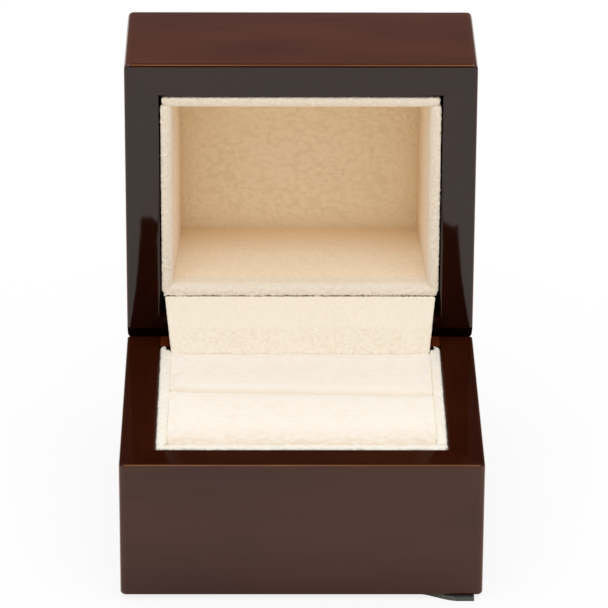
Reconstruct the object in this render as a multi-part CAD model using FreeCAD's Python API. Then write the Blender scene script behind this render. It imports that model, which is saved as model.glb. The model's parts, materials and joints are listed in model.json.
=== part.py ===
import FreeCAD, Part
import math
import os

# Wooden ring box: a lacquered base and lid of mitred boards, a suede lining, a slotted ring
# cushion, and a sprung snap hinge behind a suede cover flap. Sizes are in millimetres.
# The origin is the centre of the underside, +Z is up and the front faces -Y.
# The box stands open: the lid is thrown back and the flap leans halfway between lid and base.

Vector = FreeCAD.Vector
tolerance = 1e-6

# Case
box_width = 60.0
box_depth = 52.25
base_height = 24.1
lid_height = 25.6
wall = 5.85
bottom_thickness = 4.0
top_thickness = 3.5
seam_gap = 0.3
corner_radius = 1.0
edge_radius = 0.5
rim_inner_radius = 0.4

# Felt under the base
felt_thickness = 0.8
felt_inset = 2.0
felt_corner_radius = 3.0

# Hinge line, on the seam and close to the back, with the bevels that let the lid swing back
pivot_inset = 1.95
base_bevel_lead = 0.05
lid_bevel_lead = 1.2
open_angle = 90.0

# Hinge leaves, knuckles and pin
leaf_width = 34.0
leaf_length = 9.5
leaf_thickness = 0.6
leaf_fit = 0.05
barrel_radius = 1.35
barrel_clearance = 0.3
pin_radius = 0.75
pin_overhang = 0.2
running_clearance = 0.04
knuckle_count = 5
knuckle_gap = 0.2

# Countersunk leaf screws
screw_spacing = 24.0
screw_end_distance = 2.2
screw_head_radius = 1.5
screw_shank_radius = 0.7
screw_length = 4.2
screw_tip_length = 1.2
screw_fit = 0.05

# Bow spring between the leaves
spring_width = 9.0
spring_thickness = 0.25
spring_standoff = 0.3
spring_reach = 5.5
spring_foot_gap = 0.05
spring_bend_radius = 0.6

# Cover flap over the hinge
flap_thickness = 1.0
flap_clearance = 0.35
flap_half_length = 5.0
flap_flare = 1.3
flap_side_clearance = 0.3
flap_corner_radius = 1.5
flap_edge_radius = 0.35

# Lining of the base
liner_thickness = 1.7
liner_fit = 0.05
liner_drop = 0.1
liner_edge_radius = 0.6
liner_rear_radius = 1.2
liner_rear_gap = 0.5

# Lining of the lid, leaning in towards its roof
lid_liner_side_gap = 0.45
lid_liner_front_gap = 0.2
lid_liner_flap_clearance = 0.4
lid_liner_depth = 21.0
lid_liner_side_lean = 1.2
lid_liner_front_lean = 1.2
lid_liner_rear_lean = 2.0
roof_card_thickness = 1.0

# Ring cushion: two rolls pressed together along the ring slit
cushion_board_thickness = 1.0
cushion_fit = 0.25
cushion_flap_clearance = 0.35
cushion_drop = 0.2
cushion_crown = 0.8
cushion_side_rise = 0.2
cushion_side_crown = 0.9
cushion_shoulder_radius = 1.2
cushion_front_radius = 4.0
cushion_draw_in = 0.3
slit_from_hinge = 22.7
slit_gap = 0.3

# Levels and lines that the pieces share
half_width = box_width / 2
half_depth = box_depth / 2
floor_z = felt_thickness + bottom_thickness
rim_z = felt_thickness + base_height
lid_rim_z = rim_z + seam_gap
lid_top_z = lid_rim_z + lid_height
lid_roof_z = lid_top_z - top_thickness
pivot = Vector(0, half_depth - pivot_inset, rim_z + seam_gap / 2)
inner_x = half_width - wall
inner_front_y = wall - half_depth
inner_back_y = half_depth - wall
hinge_face = pivot.y - inner_back_y
flap_offset = hinge_face + flap_clearance
flap_sweep = math.hypot(flap_offset + flap_thickness, flap_half_length)
barrel_room = barrel_radius + barrel_clearance
liner_inner_x = inner_x - liner_fit - liner_thickness
liner_inner_front_y = inner_front_y + liner_fit + liner_thickness
cushion_rear_y = pivot.y - flap_sweep - cushion_flap_clearance
slit_y = pivot.y - slit_from_hinge
board_top_z = floor_z + cushion_board_thickness
screw_drop = leaf_length - screw_end_distance


def block(x_low, x_high, y_low, y_high, z_low, z_high):
    """Square block between two corners."""
    return Part.makeBox(x_high - x_low, y_high - y_low, z_high - z_low, Vector(x_low, y_low, z_low))


def prism(points, travel):
    """Straight extrusion of a closed outline."""
    return Part.Face(Part.makePolygon(points + points[:1])).extrude(travel)


def edges_where(shape, test):
    """Edges of a shape whose every vertex passes a test."""
    return [edge for edge in shape.Edges if all(test(vertex.Point) for vertex in edge.Vertexes)]


def opened(shape, angle):
    """Swing a piece that was drawn in the closed box back about the hinge line."""
    shape.rotate(pivot, Vector(1, 0, 0), -angle)
    return shape


def mirrored_to_lid(shape):
    """The lid's twin of a base piece, mirrored in the seam and swung open."""
    return opened(shape.mirror(pivot, Vector(0, 0, 1)), open_angle)


def write(name, shape):
    """Save one node."""
    shape.exportStep("parts/" + name + ".step")


def case_block(rim, far, bevel):
    """Rounded block of base or lid, from its rim to its far face, bevelled along the rear rim."""
    inward = math.copysign(1, far - rim)
    outline = [Vector(-half_width, -half_depth, rim),
               Vector(-half_width, half_depth - bevel, rim),
               Vector(-half_width, half_depth, rim + inward * bevel),
               Vector(-half_width, half_depth, far),
               Vector(-half_width, -half_depth, far)]
    solid = prism(outline, Vector(box_width, 0, 0))
    uprights = [edge for edge in solid.Edges
                if edge.BoundBox.XLength < tolerance and edge.BoundBox.YLength < tolerance]
    solid = solid.makeFillet(corner_radius, uprights)
    bevel_start = rim + inward * bevel
    sharp = edges_where(solid, lambda p: min(abs(p.z - rim), abs(p.z - far)) < tolerance)
    rear_edges = edges_where(solid, lambda p: abs(p.z - bevel_start) < tolerance)
    sharp += [edge for edge in rear_edges if edge.BoundBox.XLength > half_width]
    return solid.makeFillet(edge_radius, sharp)


def hollowed(solid, floor, rim):
    """Cut the square recess of base or lid and round its inner rim."""
    low = min(floor, rim)
    recess = block(-inner_x, inner_x, inner_front_y, inner_back_y, low, max(floor, rim))
    solid = solid.cut(recess)
    rim_edges = edges_where(solid, lambda p: abs(p.z - rim) < tolerance and abs(p.x) < inner_x + tolerance
                            and inner_front_y - tolerance < p.y < inner_back_y + tolerance)
    return solid.makeFillet(rim_inner_radius, rim_edges)


def mitred_boards(solid, low, high):
    """Front, back, left and right boards of a frame, mitred at its corners."""
    outer = [(-half_width, -half_depth), (half_width, -half_depth),
             (half_width, half_depth), (-half_width, half_depth)]
    inner = [(-inner_x, inner_front_y), (inner_x, inner_front_y),
             (inner_x, inner_back_y), (-inner_x, inner_back_y)]
    boards = {}
    for index, side in enumerate(("front", "right", "back", "left")):
        after = (index + 1) % 4
        plan = [outer[index], outer[after], inner[after], inner[index]]
        wedge = prism([Vector(x, y, low) for x, y in plan], Vector(0, 0, high - low))
        boards[side] = solid.common(wedge).Solids[0]
    return boards


def knuckle_spans():
    """Start and end of each hinge knuckle along X."""
    pitch = leaf_width / knuckle_count
    spans = []
    for index in range(knuckle_count):
        start = -leaf_width / 2 + index * pitch
        spans.append((start + knuckle_gap / 2, start + pitch - knuckle_gap / 2))
    return spans


def barrel(x_low, x_high, radius):
    """Cylinder on the hinge line."""
    return Part.makeCylinder(radius, x_high - x_low, Vector(x_low, pivot.y, pivot.z), Vector(1, 0, 0))


def screw_solid(x, fit):
    """Countersunk wood screw, driven backwards into the back board of the base."""
    head = screw_head_radius + fit
    shank = screw_shank_radius + fit
    z = rim_z - screw_drop
    outline = [Vector(x, inner_back_y, z),
               Vector(x, inner_back_y, z + head),
               Vector(x, inner_back_y + leaf_thickness, z + shank),
               Vector(x, inner_back_y + screw_length - screw_tip_length, z + shank),
               Vector(x, inner_back_y + screw_length + fit, z)]
    face = Part.Face(Part.makePolygon(outline + outline[:1]))
    return face.revolve(Vector(x, inner_back_y, z), Vector(0, 1, 0), 360)


def screws(fit):
    """Both screws of the base leaf."""
    return [screw_solid(x, fit) for x in (-screw_spacing / 2, screw_spacing / 2)]


def base_leaf(first_knuckle):
    """Bent leaf in the base: a plate on the back board, a strap over its rim and every second knuckle."""
    half_leaf = leaf_width / 2
    plate = block(-half_leaf, half_leaf, inner_back_y, inner_back_y + leaf_thickness,
                  rim_z - leaf_length, rim_z)
    strap = block(-half_leaf, half_leaf, inner_back_y, pivot.y - barrel_room, rim_z - leaf_thickness, rim_z)
    leaf = plate.fuse(strap).removeSplitter()
    for x_low, x_high in knuckle_spans()[first_knuckle::2]:
        tongue = block(x_low, x_high, pivot.y - barrel_room, pivot.y, rim_z - leaf_thickness, rim_z)
        leaf = leaf.fuse([tongue, barrel(x_low, x_high, barrel_radius)])
    bore = barrel(-half_leaf, half_leaf, pin_radius + running_clearance)
    return leaf.cut([bore] + screws(screw_fit)).removeSplitter().Solids[0]


def hinge_room():
    """Wood taken out of the base's back board for its leaf, the barrel and the screws."""
    half_slot = leaf_width / 2 + leaf_fit
    plate = block(-half_slot, half_slot, inner_back_y, inner_back_y + leaf_thickness,
                  rim_z - leaf_length - leaf_fit, rim_z)
    strap = block(-half_slot, half_slot, inner_back_y, pivot.y, rim_z - leaf_thickness, rim_z)
    groove = barrel(-leaf_width / 2 - barrel_clearance, leaf_width / 2 + barrel_clearance, barrel_room)
    return [plate, strap, groove] + screws(screw_fit)


def make_base_case():
    """Base of four boards on a bottom panel, with felt under it."""
    solid = case_block(rim_z, felt_thickness, pivot_inset + base_bevel_lead)
    solid = hollowed(solid, floor_z, rim_z)
    boards = mitred_boards(solid, floor_z, rim_z)
    boards["back"] = boards["back"].cut(hinge_room()).Solids[0]
    for side, board in boards.items():
        write("base_" + side + "_wall", board)
    slab = block(-half_width, half_width, -half_depth, half_depth, felt_thickness, floor_z)
    write("base_bottom_panel", solid.common(slab).Solids[0])
    felt = block(felt_inset - half_width, half_width - felt_inset,
                 felt_inset - half_depth, half_depth - felt_inset, 0, felt_thickness)
    corners = [edge for edge in felt.Edges if edge.BoundBox.ZLength > felt_thickness / 2]
    write("base_felt", felt.makeFillet(felt_corner_radius, corners))


def make_lid_case():
    """Lid of four boards under a top panel."""
    solid = case_block(lid_rim_z, lid_top_z, pivot_inset + lid_bevel_lead)
    solid = hollowed(solid, lid_roof_z, lid_rim_z)
    boards = mitred_boards(solid, lid_rim_z, lid_roof_z)
    room = [tool.mirror(pivot, Vector(0, 0, 1)) for tool in hinge_room()]
    boards["back"] = boards["back"].cut(room).Solids[0]
    for side, board in boards.items():
        write("lid_" + side + "_wall", opened(board, open_angle))
    slab = block(-half_width, half_width, -half_depth, half_depth, lid_roof_z, lid_top_z)
    write("lid_top_panel", opened(solid.common(slab).Solids[0], open_angle))


def make_hinge():
    """Both leaves, their screws, the pin and the bow spring."""
    write("hinge_base_leaf", base_leaf(1))
    write("hinge_lid_leaf", mirrored_to_lid(base_leaf(0)))
    half_pin = leaf_width / 2 + pin_overhang
    write("hinge_pin", barrel(-half_pin, half_pin, pin_radius))
    write("base_leaf_screws", Part.makeCompound(screws(0)))
    write("lid_leaf_screws", Part.makeCompound([mirrored_to_lid(screw) for screw in screws(0)]))
    write("hinge_spring", bow_spring())


def bow_spring():
    """Flat spring bent twice by half the opening, its crown behind the flap and its feet on the leaves."""
    lean = math.radians(open_angle / 2)
    inner_leg = hinge_face + spring_standoff
    outer_leg = inner_leg + spring_thickness
    foot = hinge_face + spring_foot_gap
    toe = spring_reach - spring_thickness
    outer_bend = (flap_offset - outer_leg * math.cos(lean)) / math.sin(lean)
    inner_bend = (flap_offset - spring_thickness - inner_leg * math.cos(lean)) / math.sin(lean)
    front = [(-foot, -spring_reach), (-outer_leg, -spring_reach), (-outer_leg, outer_bend)]
    back = [(-inner_leg, inner_bend), (-inner_leg, -toe), (-foot, -toe)]

    def across(place):
        """Twin of a place on the base's side, on the lid's side of the flap's middle."""
        y, z = place
        reach = z * math.sin(lean) - y * math.cos(lean)
        return (-2 * reach * math.cos(lean) - y, 2 * reach * math.sin(lean) - z)

    outline = front + [across(place) for place in reversed(front)]
    outline += [across(place) for place in reversed(back)] + back
    points = [Vector(-spring_width / 2, pivot.y + y, pivot.z + z) for y, z in outline]
    strip = prism(points, Vector(spring_width, 0, 0))
    for corner, radius in ((front[2], spring_bend_radius + spring_thickness), (back[0], spring_bend_radius)):
        for y, z in (corner, across(corner)):
            line = Vector(0, pivot.y + y, pivot.z + z)
            bend = [edge for edge in strip.Edges if edge.BoundBox.XLength > spring_width / 2
                    and edge.CenterOfMass.distanceToPoint(line) < tolerance]
            strip = strip.makeFillet(radius, bend)
    return strip


def make_flap():
    """Suede-covered card that hides the hinge, flared a little towards the lid."""
    low_half = liner_inner_x - flap_side_clearance
    high_half = low_half + flap_flare
    back_y = pivot.y - flap_offset
    low_z = pivot.z - flap_half_length
    high_z = pivot.z + flap_half_length
    outline = [Vector(-low_half, back_y, low_z), Vector(low_half, back_y, low_z),
               Vector(low_half, back_y, pivot.z), Vector(high_half, back_y, high_z),
               Vector(-high_half, back_y, high_z), Vector(-low_half, back_y, pivot.z)]
    card = prism(outline, Vector(0, -flap_thickness, 0))
    top_corners = [edge for edge in card.Edges
                   if edge.BoundBox.YLength > flap_thickness / 2
                   and edge.BoundBox.ZMin > pivot.z + flap_half_length / 2]
    card = card.makeFillet(flap_corner_radius, top_corners)
    front_edges = edges_where(card, lambda p: abs(p.y - back_y + flap_thickness) < tolerance)
    card = card.makeFillet(flap_edge_radius, front_edges)
    write("hinge_cover_flap", opened(card, open_angle / 2))


def soft_topped(strip):
    """Round the upper edges of a lining strip."""
    top = rim_z - liner_drop
    return strip.makeFillet(liner_edge_radius, edges_where(strip, lambda p: abs(p.z - top) < tolerance))


def side_strip(x_low):
    """Side strip of the base's lining, rounded off behind, where it stops short of the back board."""
    top = rim_z - liner_drop
    rear = inner_back_y - liner_rear_gap
    outline = [Vector(x_low, liner_inner_front_y, floor_z), Vector(x_low, rear, floor_z),
               Vector(x_low, rear, top), Vector(x_low, liner_inner_front_y, top)]
    strip = prism(outline, Vector(liner_thickness, 0, 0))
    rear_edge = edges_where(strip, lambda p: abs(p.z - top) < tolerance and abs(p.y - rear) < tolerance)
    return soft_topped(strip.makeFillet(liner_rear_radius, rear_edge))


def make_base_liner():
    """Front and side strips of the base's lining, standing on the base's floor."""
    outer = inner_x - liner_fit
    front = block(-outer, outer, inner_front_y + liner_fit, liner_inner_front_y, floor_z, rim_z - liner_drop)
    write("base_liner_front", soft_topped(front))
    write("base_liner_left", side_strip(-outer))
    write("base_liner_right", side_strip(liner_inner_x))


def crowned_outline(start, end, top, crown):
    """Outline from the cushion board up to a shallow crown, as (position, height) places."""
    middle = (start + end) / 2
    return [(start, board_top_z), (end, board_top_z), (end, top - crown), (middle, top), (start, top - crown)]


def crowned_face(outline, place):
    """Face with straight sides and an arc over its top; place turns a flat place into a point."""
    corners = [place(a, b) for a, b in outline]
    sides = [Part.LineSegment(corners[i], corners[i + 1]) for i in (0, 1)]
    arc = Part.Arc(corners[2], corners[3], corners[4])
    closing = Part.LineSegment(corners[4], corners[0])
    return Part.Face(Part.Wire([curve.toShape() for curve in sides + [arc, closing]]))


def drawn_in_plan(x_half, y_low, y_high):
    """Plan of a roll whose ends draw in a little between their corners."""
    y_mid = (y_low + y_high) / 2
    z = board_top_z
    corners = [Vector(-x_half, y_low, z), Vector(x_half, y_low, z),
               Vector(x_half, y_high, z), Vector(-x_half, y_high, z)]
    curves = [Part.LineSegment(corners[0], corners[1]),
              Part.Arc(corners[1], Vector(x_half - cushion_draw_in, y_mid, z), corners[2]),
              Part.LineSegment(corners[2], corners[3]),
              Part.Arc(corners[3], Vector(cushion_draw_in - x_half, y_mid, z), corners[0])]
    return Part.Face(Part.Wire([curve.toShape() for curve in curves]))


def cushion_roll(y_low, y_high, front_radius):
    """One crowned roll of the ring cushion, with its own rounding along the front."""
    top = rim_z - cushion_drop
    x_half = liner_inner_x - cushion_fit
    length_face = crowned_face(crowned_outline(y_low, y_high, top, cushion_crown),
                               lambda a, b: Vector(-x_half, a, b))
    width_top = top + cushion_side_rise
    width_face = crowned_face(crowned_outline(-x_half, x_half, width_top, cushion_side_crown),
                              lambda a, b: Vector(a, y_low, b))
    roll = length_face.extrude(Vector(2 * x_half, 0, 0))
    for place, radius in ((y_low, front_radius), (y_high, cushion_shoulder_radius)):
        shoulder = Vector(0, place, top - cushion_crown)
        edges = [edge for edge in roll.Edges if edge.BoundBox.XLength > x_half
                 and edge.CenterOfMass.distanceToPoint(shoulder) < tolerance]
        roll = roll.makeFillet(radius, edges)
    roll = roll.common(width_face.extrude(Vector(0, y_high - y_low, 0)))
    plan = drawn_in_plan(x_half, y_low, y_high).extrude(Vector(0, 0, width_top - board_top_z))
    return roll.common(plan).Solids[0]


def make_cushion():
    """Cushion board with the front and rear rolls on it."""
    front_y = liner_inner_front_y + cushion_fit
    x_half = liner_inner_x - cushion_fit
    write("cushion_board", block(-x_half, x_half, front_y, cushion_rear_y, floor_z, board_top_z))
    front_roll = cushion_roll(front_y, slit_y - slit_gap / 2, cushion_front_radius)
    write("ring_cushion_front", front_roll)
    rear_roll = cushion_roll(slit_y + slit_gap / 2, cushion_rear_y, cushion_shoulder_radius)
    write("ring_cushion_rear", rear_roll)


def leaning_panel(rim_plan, roof_plan):
    """Lining panel between its edge at the lid's rim and its edge at the roof."""
    wires = []
    for (x_low, x_high, y_low, y_high), z in ((rim_plan, lid_rim_z + liner_drop),
                                              (roof_plan, lid_rim_z + lid_liner_depth)):
        corners = [Vector(x_low, y_low, z), Vector(x_high, y_low, z),
                   Vector(x_high, y_high, z), Vector(x_low, y_high, z)]
        wires.append(Part.makePolygon(corners + corners[:1]))
    return Part.makeLoft(wires, True, True)


def make_lid_liner():
    """Four leaning panels and a roof card inside the lid."""
    rim_x = inner_x - lid_liner_side_gap
    roof_x = rim_x - lid_liner_side_lean
    rim_front = inner_front_y + lid_liner_front_gap
    roof_front = rim_front + lid_liner_front_lean
    rim_rear = pivot.y - flap_sweep - lid_liner_flap_clearance
    roof_rear = rim_rear - lid_liner_rear_lean
    thick = liner_thickness
    panels = {
        "front": ((-rim_x, rim_x, rim_front, rim_front + thick),
                  (-roof_x, roof_x, roof_front, roof_front + thick)),
        "rear": ((-rim_x, rim_x, rim_rear - thick, rim_rear),
                 (-roof_x, roof_x, roof_rear - thick, roof_rear)),
        "left": ((-rim_x, thick - rim_x, rim_front + thick, rim_rear - thick),
                 (-roof_x, thick - roof_x, roof_front + thick, roof_rear - thick)),
        "right": ((rim_x - thick, rim_x, rim_front + thick, rim_rear - thick),
                  (roof_x - thick, roof_x, roof_front + thick, roof_rear - thick))}
    for side, (rim_plan, roof_plan) in panels.items():
        write("lid_liner_" + side, opened(leaning_panel(rim_plan, roof_plan), open_angle))
    roof_z = lid_rim_z + lid_liner_depth
    roof = block(-roof_x, roof_x, roof_front, roof_rear, roof_z, roof_z + roof_card_thickness)
    write("lid_liner_roof", opened(roof, open_angle))


os.makedirs("parts", exist_ok=True)
make_base_case()
make_lid_case()
make_hinge()
make_flap()
make_base_liner()
make_lid_liner()
make_cushion()
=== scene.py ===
import json
import math

import bpy
from mathutils import Matrix, Vector


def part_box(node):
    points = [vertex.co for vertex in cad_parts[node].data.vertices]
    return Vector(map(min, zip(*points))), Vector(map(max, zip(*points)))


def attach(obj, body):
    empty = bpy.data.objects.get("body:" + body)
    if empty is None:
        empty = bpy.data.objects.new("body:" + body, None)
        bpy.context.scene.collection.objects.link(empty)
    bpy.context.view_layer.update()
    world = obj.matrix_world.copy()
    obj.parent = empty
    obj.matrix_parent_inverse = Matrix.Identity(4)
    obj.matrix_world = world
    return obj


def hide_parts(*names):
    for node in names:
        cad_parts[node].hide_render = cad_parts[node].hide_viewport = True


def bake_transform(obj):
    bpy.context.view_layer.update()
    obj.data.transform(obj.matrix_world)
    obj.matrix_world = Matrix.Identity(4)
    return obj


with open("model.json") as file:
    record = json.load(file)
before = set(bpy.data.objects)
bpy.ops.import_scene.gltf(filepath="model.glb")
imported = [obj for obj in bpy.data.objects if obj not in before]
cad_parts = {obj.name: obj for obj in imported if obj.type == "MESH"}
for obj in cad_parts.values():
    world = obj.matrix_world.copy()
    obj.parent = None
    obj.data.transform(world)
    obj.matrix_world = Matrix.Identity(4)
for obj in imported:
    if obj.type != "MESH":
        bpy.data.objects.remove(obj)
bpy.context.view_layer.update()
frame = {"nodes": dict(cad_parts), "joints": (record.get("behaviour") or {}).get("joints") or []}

bl_info = {
    "name": "Wooden ring box",
    "version": (1, 0, 0),
    "blender": (4, 5, 0),
    "location": "View3D > Sidebar > Ring Box",
    "description": "Dresses an open wooden ring box: lacquered mahogany, suede lining, ring cushion and snap hinge",
    "category": "Object",
}

lid_joint = next(joint for joint in frame["joints"] if joint["name"] == "lid_hinge")
pivot = Vector(lid_joint["pos_m"])

BASE_BOARDS = ("base_front_wall", "base_back_wall", "base_left_wall", "base_right_wall", "base_bottom_panel")
LID_BOARDS = ("lid_front_wall", "lid_back_wall", "lid_left_wall", "lid_right_wall", "lid_top_panel")
BASE_LINING = ("base_liner_front", "base_liner_left", "base_liner_right")
LID_LINING = ("lid_liner_front", "lid_liner_rear", "lid_liner_left", "lid_liner_right", "lid_liner_roof")
# A body, its boards, the grain axis of its side boards, and the depth of its wood's colour outside and on the rim
CASES = (("base", BASE_BOARDS, 1, 0.9, 0.56), ("lid", LID_BOARDS, 2, 1.4, 0.28))
FLAP_TILT_DEG = 45.0
# The cloth of the lid's rear panel bulges this many times as far as that of its side panels
REAR_BULGE = 1.6

# Painted shade and light in the colour's depth: dark on the rear bevels, where shade falls between base and lid,
# light on the uncovered rim behind the flap, for the light that the cream flap throws on it, and dark beside a worn
# edge, for a dark reflection there
BEVEL_SHADE = 0.15
FLAP_BOUNCE_LIGHT = 2.0
SHOULDER_DARK_REFLECTION = 0.35
# Share of full lacquer outside, on the rims and where it is rubbed down
OUTSIDE_GLOSS = 0.85
RIM_GLOSS = 1.0
RUBBED_GLOSS = 0.12
# How far the colour is worn through along a long edge, on the side of an upright corner and on its front, and
# lightened further there by a painted highlight
EDGE_WEAR_AND_HIGHLIGHT = 1.0
CORNER_WEAR_AND_HIGHLIGHT = 0.5
CORNER_HAZE_AND_HIGHLIGHT = 0.03


def mm(value):
    """Millimetres as Blender's metres."""
    return value * 0.001


SAME_PLACE = mm(0.01)


def linear(hex_colour):
    """An sRGB hex colour as linear red, green, blue and alpha."""
    channels = [int(hex_colour[i:i + 2], 16) / 255 for i in (1, 3, 5)]
    return [c / 12.92 if c <= 0.04045 else ((c + 0.055) / 1.055) ** 2.4 for c in channels] + [1.0]


def colour_property(name, description, hex_colour):
    """A colour that a user can change."""
    return bpy.props.FloatVectorProperty(name=name, description=description, subtype="COLOR", size=4,
                                         min=0.0, max=1.0, default=linear(hex_colour))


def length_property(name, description, millimetres):
    """A length that a user can change."""
    return bpy.props.FloatProperty(name=name, description=description, subtype="DISTANCE", unit="LENGTH",
                                   default=mm(millimetres), precision=5)


class RingBoxColours(bpy.types.PropertyGroup):
    """Colours of the finishes."""
    wood_dark: colour_property("Dark grain", "Late wood under the lacquer", "#371207")
    wood_light: colour_property("Light grain", "Early wood under the lacquer", "#461D0C")
    # Worn edge colour, which also paints the highlight along the edges
    wood_worn_lit_edge: colour_property("Thin stain", "Wood where the stain is rubbed thin along the edges", "#A86C42")
    suede: colour_property("Cushion suede", "Suede on top of the cushion", "#F2ECE1")
    # Painted shade along the cushion's front and painted light at its back, under the flap
    suede_front_shade: colour_property("Worn suede", "Suede along the cushion's worked front", "#E9DCCC")
    suede_rear_lit: colour_property("Fresh suede", "Suede at the back of the cushion", "#F7F0E6")
    suede_strip: colour_property("Strip suede", "Suede of the base's strips", "#EDE7DB")
    # The lid's colours are painted light and shade on the cushion's suede: yellower and darker in the roof and deep
    # in the lid, where shade falls, paler on the walls behind the rim, where light falls
    suede_roof_shade: colour_property("Lid suede", "Suede of the lid's roof, yellower", "#F6DFBC")
    suede_deep_shade: colour_property("Lid depth suede", "Suede of the lid's panels beside the roof", "#EFD3AC")
    suede_wall_lit: colour_property("Lid wall suede", "Suede of the lid's panels behind their rim", "#FCEBD3")
    suede_rim: colour_property("Lid rim suede", "Suede at the rim of the lid's lining", "#F0E4D3")
    suede_flap: colour_property("Flap suede", "Suede of the cover flap", "#F7ECDA")
    # Painted shade in the wrinkles' hollows and along seams
    suede_shade_tan: colour_property("Suede hollows", "Crushed nap between the wrinkles", "#D9B98C")
    felt: colour_property("Felt", "Sheet under the base", "#17171A")
    felt_fibre: colour_property("Felt fibres", "Paler fibres in the felt", "#3A3A40")
    # The felt's edges are painted paler than its faces, painted light from the white floor on them
    felt_lit_cut: colour_property("Felt cut", "Ground of the felt's cut edge", "#4E504A")
    felt_lit_edge: colour_property("Felt edge", "Fibres along the felt's cut edge", "#8B8D82")
    card: colour_property("Card", "Board under the cushion", "#9C9282")
    brass: colour_property("Brass", "Hinge leaves and screws", "#D8AE62")
    steel: colour_property("Spring steel", "Pin and bow spring", "#A9AAAD")


class RingBoxSizes(bpy.types.PropertyGroup):
    """Sizes of the soft pieces and of their surfaces."""
    nap_mesh: length_property("Nap mesh", "Mesh size of the suede pieces", 0.18)
    nap_depth: length_property("Nap depth", "Height of the suede's fine tufts", 0.16)
    nap_tuft: length_property("Nap tuft", "Width of a fine tuft", 0.4)
    wrinkle: length_property("Wrinkle", "Width of one wrinkle in worked suede", 0.65)
    wrinkle_depth: length_property("Wrinkle depth", "Depth of a wrinkle in worked suede", 0.09)
    rim_depth: length_property("Rim tuft depth", "Height of the tufts along the rims", 0.42)
    rim_tuft: length_property("Rim tuft", "Width of a tuft along the rims", 0.42)
    panel_roll: length_property("Panel edge", "Rounding of a lid panel's inner edge", 1.45)
    panel_spread: length_property("Panel spread", "How far a lid panel's cloth bulges into the gap at the rim", 0.25)
    panel_droop: length_property("Panel droop", "How far the lid's front panel hangs below its card at the rim", 0.3)
    panel_seat: length_property("Panel seat", "How far the lid's panels press into the roof's cloth", 0.4)
    panel_past_front: length_property("Panel past front", "How far the side panels run on behind the front one", 0.2)
    panel_past_rear: length_property("Panel past rear", "How far the side panels run on behind the rear one", 1.4)
    strip_roll: length_property("Strip edge", "Rounding of the base strips' upper edges", 0.4)
    strip_end: length_property("Strip end", "Rounding of the side strips' rear ends", 0.35)
    strip_corner: length_property("Strip corner", "Rounding of the strips' outer corners seen from above", 1.0)
    strip_rise: length_property("Strip rise", "Cloth above the strips' card", 0.18)
    strip_swell: length_property("Strip swell", "Cloth on the strips' inner side", 0.15)
    strip_notch: length_property("Strip notch", "Room for the shut flap in the side strips' rear ends", 0.9)
    strip_longer: length_property("Left strip", "How far the left strip runs on behind its card", 0.3)
    strip_shorter: length_property("Right strip", "How far the right strip stops short of its card's end", 0.2)
    cushion_rise: length_property("Cushion rise", "Cloth above the rolls' foam", 0.2)
    cushion_rear: length_property("Cushion rear", "How far the rear roll bulges under the flap", 1.0)
    cushion_grip: length_property("Cushion grip", "How deep the two rolls press into each other", 0.6)
    slit_roll: length_property("Slit roll", "Rounding of the rear roll where it dips into the slit", 1.8)
    rear_lift: length_property("Rear lift", "How far the rear roll rises towards the flap", 0.08)
    slit_lift: length_property("Slit lift", "How far the front roll rises towards the slit", 0.12)
    slit_lean: length_property("Slit lean", "How far each end of the ring slit is off the straight", 1.0)
    cushion_spread: length_property("Cushion spread", "How far the rolls press out past their foam", 0.65)
    cushion_dip: length_property("Cushion dip", "Rounding of the cushion's front edge", 3.6)
    cushion_swell: length_property("Cushion swell", "Farthest that the foam pushes the suede", 0.3)
    flap_distance: length_property("Flap distance", "Flap's front face from the hinge line", 5.25)
    flap_thickness: length_property("Flap thickness", "Card and suede of the flap", 0.72)
    flap_below: length_property("Flap below", "Flap's reach below the hinge line", 5.25)
    flap_above: length_property("Flap above", "Flap's reach above the hinge line", 5.32)
    flap_half_low: length_property("Flap half width", "Half the flap's width in the base", 22.25)
    flap_half_high: length_property("Flap half width above", "Half the flap's width at its upper edge", 23.4)
    flap_fall: length_property("Flap fall", "How far the flap's lower end leans back below its crease", 0.3)
    felt_pull: length_property("Felt corner", "How far the felt's loose front corner is pulled out", 2.5)


def sizes():
    """The size settings of the scene."""
    return bpy.context.scene.ring_box_sizes


def colours():
    """The colour settings of the scene."""
    return bpy.context.scene.ring_box_colours


def add_node(tree, kind, inputs=None, **settings):
    """Add a shader node; an input that is a socket is linked, any other input is set."""
    node = tree.nodes.new(kind)
    for key, value in settings.items():
        setattr(node, key, value)
    for key, value in (inputs or {}).items():
        if isinstance(value, bpy.types.NodeSocket):
            tree.links.new(value, node.inputs[key])
        else:
            node.inputs[key].default_value = value
    return node


def new_material(name):
    """An empty node material, its tree and its output."""
    material = bpy.data.materials.new(name)
    material.use_nodes = True
    tree = material.node_tree
    tree.nodes.clear()
    return material, tree, add_node(tree, "ShaderNodeOutputMaterial")


def per_mm(millimetres):
    """Pattern frequency that gives features of this size on Object coordinates."""
    return 1000.0 / millimetres


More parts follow.
